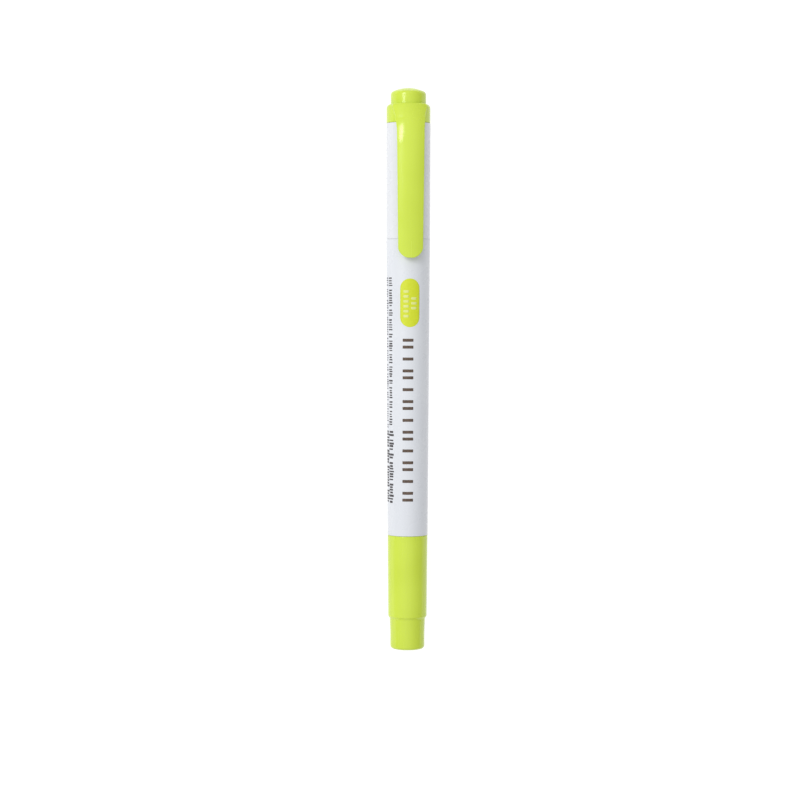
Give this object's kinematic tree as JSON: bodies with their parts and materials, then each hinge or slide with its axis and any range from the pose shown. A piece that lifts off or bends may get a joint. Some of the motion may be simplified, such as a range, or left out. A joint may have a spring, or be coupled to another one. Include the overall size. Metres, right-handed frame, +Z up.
{
  "type": "double-ended highlighter",
  "caption": "Slim double-ended highlighter: tapered barrel, broad chisel nib under a clip cap, fine bullet nib under a small cap.",
  "frame": {"origin": "under the middle of the capped pen, at the level of the surface it lies on", "axes": "+Y along the pen towards the clip cap, +Z up with the clip on top, +X across the pen"},
  "size_m": [0.011, 0.14, 0.0132],
  "materials": {
    "white_barrel": "glossy moulded polypropylene with a faint flow texture",
    "white_cap": "glossy moulded polypropylene",
    "lime_plastic": "glossy opaque lime polypropylene",
    "natural_plastic": "uncoloured milky polypropylene",
    "inked_fibre": "pressed polyester fibre soaked with fluorescent ink",
    "reservoir_film": "thin clear film over inked fibre",
    "lime_print": "satin screen-printed ink",
    "dark_print": "satin screen-printed ink"
  },
  "bodies": {
    "pen": {"barrel": "white_barrel", "ink_reservoir": "inked_fibre", "reservoir_film": "reservoir_film", "broad_nib_holder": "white_barrel", "broad_nib": "inked_fibre", "fine_nib_holder": "white_barrel", "fine_nib": "inked_fibre"},
    "clip_cap": {"clip_cap_tube": "white_cap", "clip_collar": "lime_plastic", "top_plug": "lime_plastic", "clip_cap_liner": "natural_plastic"},
    "clip": {"clip_arm": "lime_plastic"},
    "small_cap": {"small_cap_shell": "lime_plastic", "small_cap_liner": "natural_plastic"}
  },
  "joints": [
    {"name": "clip_cap_pull", "type": "slide", "parent": "pen", "child": "clip_cap", "axis": [0, 1, 0], "range_m": [0, 0.035]},
    {"name": "clip_flex", "type": "hinge", "parent": "clip_cap", "child": "clip", "pos_m": [0, 0.0582, 0.01312], "axis": [-1, 0, 0], "range_deg": [0, 4], "stiffness_Nm_per_rad": 1.2},
    {"name": "small_cap_pull", "type": "slide", "parent": "pen", "child": "small_cap", "axis": [0, -1, 0], "range_m": [0, 0.03]}
  ]
}
